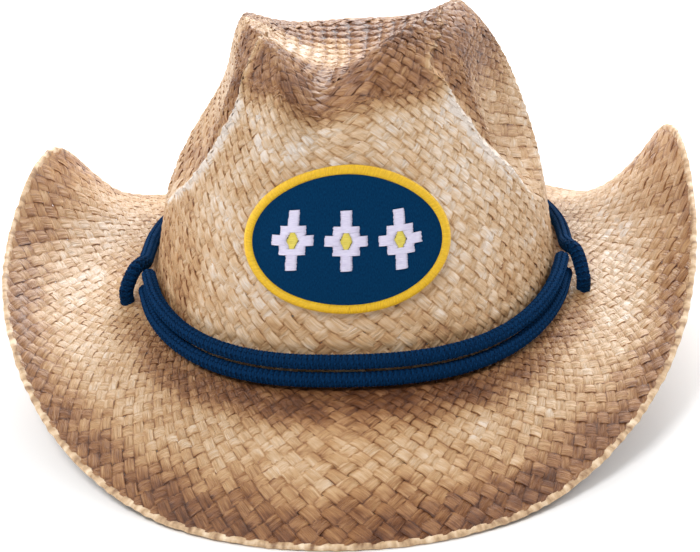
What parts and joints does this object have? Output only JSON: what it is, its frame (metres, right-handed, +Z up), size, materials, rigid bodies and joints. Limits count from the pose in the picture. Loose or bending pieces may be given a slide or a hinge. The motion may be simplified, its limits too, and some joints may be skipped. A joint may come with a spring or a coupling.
{
  "type": "straw cowboy hat",
  "caption": "Straw cowboy hat with a creased crown, turned-up side brims, a navy cord band and an oval embroidered patch.",
  "frame": {"origin": "on the surface that the hat rests on, under the middle of its outline", "axes": "+Z up out of the crown, -Y out of the hat's front, +X to the right of someone who faces its front"},
  "size_m": [0.2992, 0.3718, 0.1581],
  "materials": {
    "woven_straw": "plaited straw strips with a satin gloss, airbrushed brown",
    "straw_hem": "turned pale straw",
    "navy_cord": "matt braided cord",
    "navy_twill": "matt twill",
    "yellow_thread": "overlocked thread with a soft sheen",
    "pale_thread": "satin stitched thread"
  },
  "bodies": {
    "root": {"woven_body": "woven_straw", "brim_edge": "straw_hem", "front_cord_lower": "navy_cord", "front_cord_upper": "navy_cord", "back_cord": "navy_cord", "knot_left": "navy_cord", "knot_right": "navy_cord", "patch_ground": "navy_twill", "patch_border": "yellow_thread", "patch_motif_1": "pale_thread", "patch_motif_2": "pale_thread", "patch_motif_3": "pale_thread"}
  },
  "joints": []
}
